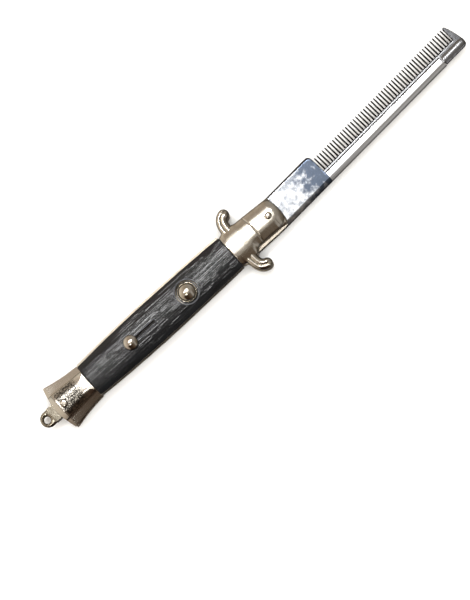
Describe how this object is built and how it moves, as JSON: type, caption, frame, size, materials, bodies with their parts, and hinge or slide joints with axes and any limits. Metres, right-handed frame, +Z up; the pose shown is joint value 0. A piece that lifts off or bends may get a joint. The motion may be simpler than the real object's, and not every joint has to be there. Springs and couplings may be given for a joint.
{
  "type": "folding comb with push-button handle",
  "caption": "Pocket comb with a stiletto-style handle: the toothed steel comb folds into the handle, which has a firing button, a sliding safety, a two-finger guard and a tail ring.",
  "frame": {"origin": "middle of the open comb's outline, on the surface that the back of the handle rests on", "axes": "+X along the handle towards the comb's tip, +Y towards the teeth, +Z up out of the face with the button"},
  "size_m": [0.2284, 0.0306, 0.0157],
  "materials": {
    "nickel_plate": "polished nickel plate on cast zinc",
    "liner_steel": "bright sheet steel",
    "polished_steel": "polished folded sheet steel",
    "tooth_steel": "dark stamped steel",
    "black_plastic": "moulded with a lengthwise bark texture"
  },
  "bodies": {
    "handle": {"front_liner": "liner_steel", "back_liner": "liner_steel", "back_spacer": "liner_steel", "pommel_block": "liner_steel", "front_scale": "black_plastic", "back_scale": "black_plastic", "front_head_bolster": "nickel_plate", "back_head_bolster": "nickel_plate", "front_pommel_bolster": "nickel_plate", "back_pommel_bolster": "nickel_plate", "pivot_pin": "nickel_plate", "pommel_pin": "nickel_plate", "bail": "nickel_plate"},
    "comb": {"comb_sleeve": "polished_steel", "comb_teeth": "tooth_steel"},
    "button": {"firing_button": "nickel_plate"},
    "safety": {"safety_knob": "nickel_plate"}
  },
  "joints": [
    {"name": "comb_fold", "type": "hinge", "parent": "handle", "child": "comb", "pos_m": [0.00868, 0.0004, 0.0065], "axis": [0, 0, 1], "range_deg": [0, 176.9], "stiffness_Nm_per_rad": 0.01, "springref_deg": -28.65},
    {"name": "button_press", "type": "slide", "parent": "handle", "child": "button", "axis": [0, 0, -1], "range_m": [0, 0.001], "stiffness_N_per_m": 200, "springref_m": -0.0005},
    {"name": "safety_slide", "type": "slide", "parent": "handle", "child": "safety", "axis": [1, 0, 0], "range_m": [0, 0.0108]}
  ]
}
